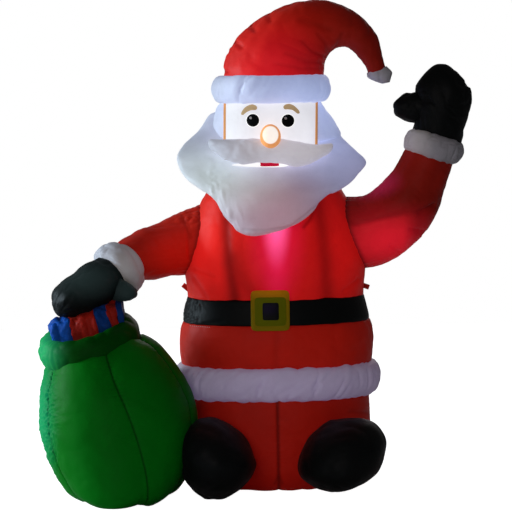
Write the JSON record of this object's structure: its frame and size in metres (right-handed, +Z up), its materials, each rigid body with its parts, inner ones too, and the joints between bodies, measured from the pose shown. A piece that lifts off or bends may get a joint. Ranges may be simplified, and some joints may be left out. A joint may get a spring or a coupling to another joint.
{
  "type": "inflatable santa",
  "caption": "Standing inflatable figure in a red suit with a soft hat and beard, one arm raised and the other resting on a sack of parcels.",
  "frame": {"origin": "on the ground at the upright axis of the body, in the middle of its flat underside", "axes": "+Z up, the front faces -Y, +X to the right of someone who looks at the front"},
  "size_m": [1.609, 0.8802, 1.8],
  "materials": {
    "red_cloth": "coated woven polyester, satin",
    "white_cloth": "coated woven polyester, satin",
    "black_cloth": "coated woven polyester, satin",
    "green_cloth": "coated woven polyester, satin",
    "blue_cloth": "coated woven polyester, satin",
    "yellow_cloth": "coated woven polyester, satin",
    "face_cloth": "thin woven polyester, lit from inside",
    "nose_cloth": "thin woven polyester, lit from inside"
  },
  "bodies": {
    "root": {"trousers": "red_cloth", "hem_trim": "white_cloth", "coat_skirt": "red_cloth", "belt": "black_cloth", "jacket": "red_cloth", "buckle": "yellow_cloth", "buckle_centre": "black_cloth", "left_tether_loop": "red_cloth", "right_tether_loop": "red_cloth", "head": "face_cloth", "hat_band": "white_cloth", "hat": "red_cloth", "hat_tip": "white_cloth", "hair": "white_cloth", "nose": "nose_cloth", "moustache": "white_cloth", "beard": "white_cloth", "waving_sleeve": "red_cloth", "waving_cuff": "white_cloth", "waving_mitten": "black_cloth", "resting_sleeve": "red_cloth", "resting_cuff": "white_cloth", "resting_mitten": "black_cloth", "left_boot": "black_cloth", "right_boot": "black_cloth", "sack": "green_cloth", "sack_collar": "green_cloth", "parcel_1": "blue_cloth", "parcel_1_ribbon": "red_cloth", "parcel_2": "blue_cloth", "parcel_2_ribbon": "red_cloth", "parcel_2_end": "blue_cloth"}
  },
  "joints": []
}
